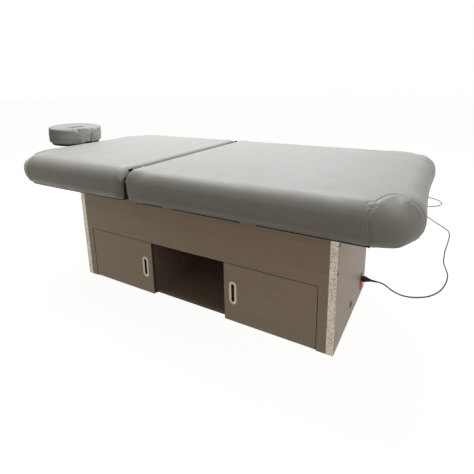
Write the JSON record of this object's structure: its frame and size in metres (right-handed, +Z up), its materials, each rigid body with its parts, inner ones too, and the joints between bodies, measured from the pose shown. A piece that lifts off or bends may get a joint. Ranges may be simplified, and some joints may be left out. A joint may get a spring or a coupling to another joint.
{
  "type": "spa bed with cabinet base",
  "caption": "Spa and massage bed: split padded top on a wood cabinet with doors and an open shelf, powered backrest, face cradle and mains lead.",
  "frame": {"origin": "on the floor, under the middle of the box round the bed and its face cradle, without the cord", "axes": "+X along the bed towards its foot end, +Y towards the back of the cabinet, +Z up"},
  "size_m": [2.3618, 2.737, 0.826],
  "materials": {
    "oak_laminate": "satin",
    "edge_strip": "satin",
    "dark_laminate": "satin",
    "plywood": "matte",
    "leatherette": "satin",
    "cradle_cover": "matte",
    "black_plastic": "matte",
    "red_lens": "gloss",
    "pull_finish": "satin",
    "steel": "satin",
    "black_steel": "satin",
    "rubber": "matte"
  },
  "bodies": {
    "cabinet": {"head_end_panel": "oak_laminate", "foot_end_panel": "oak_laminate", "front_edge_bands": "edge_strip", "front_apron": "oak_laminate", "front_stiles": "oak_laminate", "back_panel": "oak_laminate", "bay_floor": "dark_laminate", "head_partition": "dark_laminate", "foot_partition": "dark_laminate", "shelf_board": "dark_laminate", "head_floor_board": "dark_laminate", "foot_floor_board": "dark_laminate", "top_rails": "plywood", "cross_rails": "plywood", "fixed_deck": "plywood", "body_cushion": "leatherette", "rest_pads": "rubber", "deck_spacers": "rubber", "fixed_hinge_leaves": "black_steel", "hinge_pins": "steel", "actuator_base_bracket": "steel", "actuator_base_pin": "steel", "control_box": "black_plastic", "inner_mains_lead": "rubber", "mains_inlet": "black_plastic", "inlet_blades": "steel", "cable_grommet": "black_plastic", "panel_screws": "black_steel", "door_pivot_brackets": "steel", "door_catches": "black_plastic", "cord_connector": "black_plastic", "mains_cord": "rubber", "mains_plug": "black_plastic"},
    "backrest": {"backrest_deck": "plywood", "backrest_cushion": "leatherette", "backrest_hinge_leaves": "black_steel", "lift_bracket": "steel", "lift_pin": "steel", "cradle_sockets": "black_steel"},
    "actuator_body": {"actuator_housing": "black_plastic", "actuator_motor": "steel", "actuator_tube": "steel"},
    "actuator_ram": {"actuator_rod": "steel"},
    "cradle_frame": {"cradle_rods": "steel", "cradle_crossbar": "steel", "cradle_tilt_pin": "steel"},
    "cradle_head": {"cradle_platform": "black_plastic", "cradle_lugs": "black_steel", "cradle_cushion": "cradle_cover"},
    "clamp_lever": {"cradle_cam_lever": "black_plastic"},
    "head_door_leaf": {"head_door": "oak_laminate", "head_door_pull": "pull_finish", "head_door_pins": "steel"},
    "foot_door_leaf": {"foot_door": "oak_laminate", "foot_door_pull": "pull_finish", "foot_door_pins": "steel"},
    "power_switch": {"switch_rocker": "red_lens"}
  },
  "joints": [
    {"name": "backrest_lift", "type": "hinge", "parent": "cabinet", "child": "backrest", "pos_m": [-0.02739, 0, 0.705], "axis": [0, 1, 0], "range_deg": [0, 55]},
    {"name": "actuator_tilt", "type": "hinge", "parent": "cabinet", "child": "actuator_body", "pos_m": [0.00441, 0, 0.34147], "axis": [0, 1, 0], "range_deg": [0, 27.5]},
    {"name": "actuator_extend", "type": "slide", "parent": "actuator_body", "child": "actuator_ram", "axis": [-0.887, 0, 0.4617], "range_m": [0, 0.24]},
    {"name": "cradle_slide", "type": "slide", "parent": "backrest", "child": "cradle_frame", "axis": [-1, 0, 0], "range_m": [0, 0.12]},
    {"name": "cradle_tilt", "type": "hinge", "parent": "cradle_frame", "child": "cradle_head", "pos_m": [-0.94339, 0, 0.687], "axis": [0, 1, 0], "range_deg": [-40, 0]},
    {"name": "clamp_lever_turn", "type": "hinge", "parent": "cradle_frame", "child": "clamp_lever", "pos_m": [-0.94339, 0, 0.687], "axis": [0, 1, 0], "range_deg": [0, 45]},
    {"name": "head_door_swing", "type": "hinge", "parent": "cabinet", "child": "head_door_leaf", "pos_m": [-0.51539, -0.294, 0.144], "axis": [0, 0, -1], "range_deg": [0, 100]},
    {"name": "foot_door_swing", "type": "hinge", "parent": "cabinet", "child": "foot_door_leaf", "pos_m": [0.75861, -0.294, 0.144], "axis": [0, 0, 1], "range_deg": [0, 100]},
    {"name": "switch_press", "type": "hinge", "parent": "cabinet", "child": "power_switch", "pos_m": [0.84461, 0.205, 0.058], "axis": [0, 1, 0], "range_deg": [0, 14]}
  ],
  "couplings": [
    {"joint": "actuator_tilt", "follows": "backrest_lift", "ratio": 0.5},
    {"joint": "actuator_extend", "follows": "backrest_lift", "m_per_rad": 0.24995}
  ]
}
